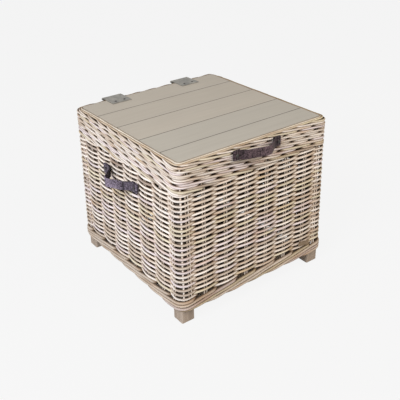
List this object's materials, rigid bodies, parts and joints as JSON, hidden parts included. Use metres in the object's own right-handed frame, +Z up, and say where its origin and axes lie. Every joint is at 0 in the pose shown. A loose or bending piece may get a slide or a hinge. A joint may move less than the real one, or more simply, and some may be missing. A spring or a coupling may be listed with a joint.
{
  "type": "tank cover table",
  "caption": "Woven cane box table without a floor that covers a gas bottle, with a hinged plank top, leather carrying straps and square feet.",
  "frame": {"origin": "on the floor, under the middle of the whole object's outer box", "axes": "+X to the right along the wide side, +Y from the front strap towards the hinges, +Z up"},
  "size_m": [0.7078, 0.6532, 0.5492],
  "materials": {
    "cane": "grey-washed woven cane, dry and matt",
    "deck_wood": "grey-washed planks, satin",
    "frame_wood": "pale washed wood, matt",
    "leather": "dark worn leather",
    "plate_leather": "tan leather, bare",
    "aged_metal": "aged grey, satin"
  },
  "bodies": {
    "box": {"bottom_rail_back": "frame_wood", "bottom_rail_front": "frame_wood", "bottom_rail_left": "frame_wood", "bottom_rail_right": "frame_wood", "foot_back_left": "frame_wood", "foot_back_right": "frame_wood", "foot_front_left": "frame_wood", "foot_front_right": "frame_wood", "grip_rail_left": "frame_wood", "grip_rail_right": "frame_wood", "left_handle_rivet_back": "aged_metal", "left_handle_rivet_front": "aged_metal", "left_handle_strap": "leather", "left_hinge_body_leaf": "aged_metal", "left_hinge_pin": "aged_metal", "name_plate": "plate_leather", "post_back_left": "frame_wood", "post_back_right": "frame_wood", "post_front_left": "frame_wood", "post_front_right": "frame_wood", "right_handle_rivet_back": "aged_metal", "right_handle_rivet_front": "aged_metal", "right_handle_strap": "leather", "right_hinge_body_leaf": "aged_metal", "right_hinge_pin": "aged_metal", "top_rail_back": "frame_wood", "top_rail_front": "frame_wood", "top_rail_left": "frame_wood", "top_rail_right": "frame_wood", "woven_side_back": "cane", "woven_side_front": "cane", "woven_side_left": "cane", "woven_side_right": "cane"},
    "lid": {"batten_1": "frame_wood", "batten_2": "frame_wood", "batten_3": "frame_wood", "front_handle_rivet_left": "aged_metal", "front_handle_rivet_right": "aged_metal", "front_handle_strap": "leather", "left_hinge_lid_leaf": "aged_metal", "left_hinge_screw_1": "aged_metal", "left_hinge_screw_2": "aged_metal", "lid_rail_back": "frame_wood", "lid_rail_front": "frame_wood", "lid_rail_left": "frame_wood", "lid_rail_right": "frame_wood", "lid_rim_back": "cane", "lid_rim_front": "cane", "lid_rim_left": "cane", "lid_rim_right": "cane", "plank_1": "deck_wood", "plank_2": "deck_wood", "plank_3": "deck_wood", "plank_4": "deck_wood", "plank_5": "deck_wood", "right_hinge_lid_leaf": "aged_metal", "right_hinge_screw_1": "aged_metal", "right_hinge_screw_2": "aged_metal"}
  },
  "joints": [
    {"name": "lid_hinge", "type": "hinge", "parent": "box", "child": "lid", "pos_m": [0, 0.32215, 0.5428], "axis": [-1, 0, 0], "range_deg": [0, 100]}
  ]
}
